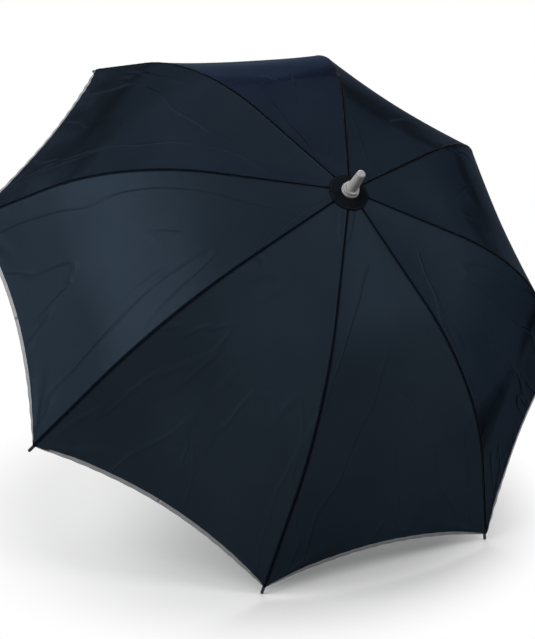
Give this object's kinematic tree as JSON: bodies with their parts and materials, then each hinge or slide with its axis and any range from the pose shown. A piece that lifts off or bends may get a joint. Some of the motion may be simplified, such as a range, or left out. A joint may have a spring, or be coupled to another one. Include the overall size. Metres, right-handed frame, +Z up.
{
  "type": "stick umbrella",
  "caption": "Open stick umbrella with a dark cloth canopy on folding ribs, a spring-opened runner, pale ferrule and straight grip with a release button.",
  "frame": {"origin": "on the floor under the middle of the open umbrella, which lies on two rib tips and the edge of its handle's end", "axes": "+Z up, +X across the canopy along its widest extent, the handle points to +Y and the ferrule to -Y and up"},
  "size_m": [0.9316, 0.7004, 0.6961],
  "materials": {
    "cloth": "tightly woven matt navy cloth",
    "rib_paint": "semi-gloss black paint",
    "joint_steel": "black-plated steel",
    "tip_plastic": "glossy black",
    "stretcher_paint": "semi-gloss black paint",
    "shaft_paint": "gloss black paint",
    "black_plastic": "fine-grained black",
    "wire": "drawn steel",
    "spring_steel": "drawn steel",
    "rosette_cloth": "black cloth over board",
    "pale_plastic": "satin warm grey",
    "handle_trim": "glossy black",
    "grip_rubber": "soft matt black",
    "button_plastic": "satin grey"
  },
  "bodies": {
    "shaft": {"shaft_tube": "shaft_paint", "top_notch": "black_plastic", "notch_wire": "wire", "runner_stop": "wire", "spring_seat": "black_plastic", "opening_spring": "spring_steel", "rosette": "rosette_cloth", "ferrule_collar": "pale_plastic", "ferrule": "pale_plastic", "handle_collar": "handle_trim", "handle_grip": "grip_rubber", "handle_end_cap": "handle_trim", "button_spring": "spring_steel"},
    "runner": {"runner": "black_plastic", "runner_wire": "wire", "pusher": "black_plastic", "cross_pin": "wire"},
    "button": {"release_button": "button_plastic"},
    "rib_1_arm": {"rib_1": "rib_paint", "rib_joint_1": "joint_steel", "rib_tip_1": "tip_plastic", "canopy_1": "cloth"},
    "stretcher_1_arm": {"stretcher_1": "stretcher_paint"},
    "rib_2_arm": {"rib_2": "rib_paint", "rib_joint_2": "joint_steel", "rib_tip_2": "tip_plastic", "canopy_2": "cloth"},
    "stretcher_2_arm": {"stretcher_2": "stretcher_paint"},
    "rib_3_arm": {"rib_3": "rib_paint", "rib_joint_3": "joint_steel", "rib_tip_3": "tip_plastic", "canopy_3": "cloth"},
    "stretcher_3_arm": {"stretcher_3": "stretcher_paint"},
    "rib_4_arm": {"rib_4": "rib_paint", "rib_joint_4": "joint_steel", "rib_tip_4": "tip_plastic", "canopy_4": "cloth"},
    "stretcher_4_arm": {"stretcher_4": "stretcher_paint"},
    "rib_5_arm": {"rib_5": "rib_paint", "rib_joint_5": "joint_steel", "rib_tip_5": "tip_plastic", "canopy_5": "cloth"},
    "stretcher_5_arm": {"stretcher_5": "stretcher_paint"},
    "rib_6_arm": {"rib_6": "rib_paint", "rib_joint_6": "joint_steel", "rib_tip_6": "tip_plastic", "canopy_6": "cloth"},
    "stretcher_6_arm": {"stretcher_6": "stretcher_paint"},
    "rib_7_arm": {"rib_7": "rib_paint", "rib_joint_7": "joint_steel", "rib_tip_7": "tip_plastic", "canopy_7": "cloth"},
    "stretcher_7_arm": {"stretcher_7": "stretcher_paint"},
    "rib_8_arm": {"rib_8": "rib_paint", "rib_joint_8": "joint_steel", "rib_tip_8": "tip_plastic", "canopy_8": "cloth"},
    "stretcher_8_arm": {"stretcher_8": "stretcher_paint"}
  },
  "joints": [
    {"name": "rib_1_fold", "type": "hinge", "parent": "shaft", "child": "rib_1_arm", "pos_m": [-0.00478, -0.19133, 0.54653], "axis": [-0.9239, -0.2677, -0.2735], "range_deg": [0, 58], "stiffness_Nm_per_rad": 2, "springref_deg": -85.94, "deforming": ["canopy_1", "opening_spring"]},
    {"name": "stretcher_1_swing", "type": "hinge", "parent": "rib_1_arm", "child": "stretcher_1_arm", "pos_m": [-0.09881, 0.01116, 0.66598], "axis": [-0.9239, -0.2677, -0.2735], "range_deg": [-116, 0]},
    {"name": "rib_2_fold", "type": "hinge", "parent": "shaft", "child": "rib_2_arm", "pos_m": [-0.01155, -0.19606, 0.54169], "axis": [-0.3827, -0.6462, -0.6603], "range_deg": [0, 58], "deforming": ["canopy_2"]},
    {"name": "stretcher_2_swing", "type": "hinge", "parent": "rib_2_arm", "child": "stretcher_2_arm", "pos_m": [-0.23856, -0.08658, 0.56611], "axis": [-0.3827, -0.6462, -0.6603], "range_deg": [-116, 0]},
    {"name": "rib_3_fold", "type": "hinge", "parent": "shaft", "child": "rib_3_arm", "pos_m": [-0.01155, -0.20275, 0.53485], "axis": [0.3827, -0.6462, -0.6603], "range_deg": [0, 58], "deforming": ["canopy_3"]},
    {"name": "stretcher_3_swing", "type": "hinge", "parent": "rib_3_arm", "child": "stretcher_3_arm", "pos_m": [-0.23856, -0.22481, 0.42487], "axis": [0.3827, -0.6462, -0.6603], "range_deg": [-116, 0]},
    {"name": "rib_4_fold", "type": "hinge", "parent": "shaft", "child": "rib_4_arm", "pos_m": [-0.00478, -0.20749, 0.53002], "axis": [0.9239, -0.2677, -0.2735], "range_deg": [0, 58], "deforming": ["canopy_4"]},
    {"name": "stretcher_4_swing", "type": "hinge", "parent": "rib_4_arm", "child": "stretcher_4_arm", "pos_m": [-0.09881, -0.32256, 0.325], "axis": [0.9239, -0.2677, -0.2735], "range_deg": [-116, 0]},
    {"name": "rib_5_fold", "type": "hinge", "parent": "shaft", "child": "rib_5_arm", "pos_m": [0.00478, -0.20749, 0.53002], "axis": [0.9239, 0.2677, 0.2735], "range_deg": [0, 58], "deforming": ["canopy_5"]},
    {"name": "stretcher_5_swing", "type": "hinge", "parent": "rib_5_arm", "child": "stretcher_5_arm", "pos_m": [0.09881, -0.32256, 0.325], "axis": [0.9239, 0.2677, 0.2735], "range_deg": [-116, 0]},
    {"name": "rib_6_fold", "type": "hinge", "parent": "shaft", "child": "rib_6_arm", "pos_m": [0.01155, -0.20275, 0.53485], "axis": [0.3827, 0.6462, 0.6603], "range_deg": [0, 58], "deforming": ["canopy_6"]},
    {"name": "stretcher_6_swing", "type": "hinge", "parent": "rib_6_arm", "child": "stretcher_6_arm", "pos_m": [0.23856, -0.22481, 0.42487], "axis": [0.3827, 0.6462, 0.6603], "range_deg": [-116, 0]},
    {"name": "rib_7_fold", "type": "hinge", "parent": "shaft", "child": "rib_7_arm", "pos_m": [0.01155, -0.19606, 0.54169], "axis": [-0.3827, 0.6462, 0.6603], "range_deg": [0, 58], "deforming": ["canopy_7"]},
    {"name": "stretcher_7_swing", "type": "hinge", "parent": "rib_7_arm", "child": "stretcher_7_arm", "pos_m": [0.23856, -0.08658, 0.56611], "axis": [-0.3827, 0.6462, 0.6603], "range_deg": [-116, 0]},
    {"name": "rib_8_fold", "type": "hinge", "parent": "shaft", "child": "rib_8_arm", "pos_m": [0.00478, -0.19133, 0.54653], "axis": [-0.9239, 0.2677, 0.2735], "range_deg": [0, 58], "deforming": ["canopy_8"]},
    {"name": "stretcher_8_swing", "type": "hinge", "parent": "rib_8_arm", "child": "stretcher_8_arm", "pos_m": [0.09881, 0.01116, 0.66598], "axis": [-0.9239, 0.2677, 0.2735], "range_deg": [-116, 0]},
    {"name": "runner_turn", "type": "hinge", "parent": "stretcher_1_arm", "child": "runner", "pos_m": [-0.00478, -0.10391, 0.46097], "axis": [-0.9239, -0.2677, -0.2735], "range_deg": [0, 58]},
    {"name": "button_press", "type": "slide", "parent": "shaft", "child": "button", "axis": [0, -0.6995, -0.7147], "range_m": [0, 0.0015], "stiffness_N_per_m": 600, "springref_m": -0.002, "deforming": ["button_spring"]}
  ],
  "couplings": [
    {"joint": "stretcher_1_swing", "follows": "rib_1_fold", "ratio": -2},
    {"joint": "rib_2_fold", "follows": "rib_1_fold", "ratio": 1},
    {"joint": "stretcher_2_swing", "follows": "rib_1_fold", "ratio": -2},
    {"joint": "rib_3_fold", "follows": "rib_1_fold", "ratio": 1},
    {"joint": "stretcher_3_swing", "follows": "rib_1_fold", "ratio": -2},
    {"joint": "rib_4_fold", "follows": "rib_1_fold", "ratio": 1},
    {"joint": "stretcher_4_swing", "follows": "rib_1_fold", "ratio": -2},
    {"joint": "rib_5_fold", "follows": "rib_1_fold", "ratio": 1},
    {"joint": "stretcher_5_swing", "follows": "rib_1_fold", "ratio": -2},
    {"joint": "rib_6_fold", "follows": "rib_1_fold", "ratio": 1},
    {"joint": "stretcher_6_swing", "follows": "rib_1_fold", "ratio": -2},
    {"joint": "rib_7_fold", "follows": "rib_1_fold", "ratio": 1},
    {"joint": "stretcher_7_swing", "follows": "rib_1_fold", "ratio": -2},
    {"joint": "rib_8_fold", "follows": "rib_1_fold", "ratio": 1},
    {"joint": "stretcher_8_swing", "follows": "rib_1_fold", "ratio": -2},
    {"joint": "runner_turn", "follows": "rib_1_fold", "ratio": 1}
  ]
}
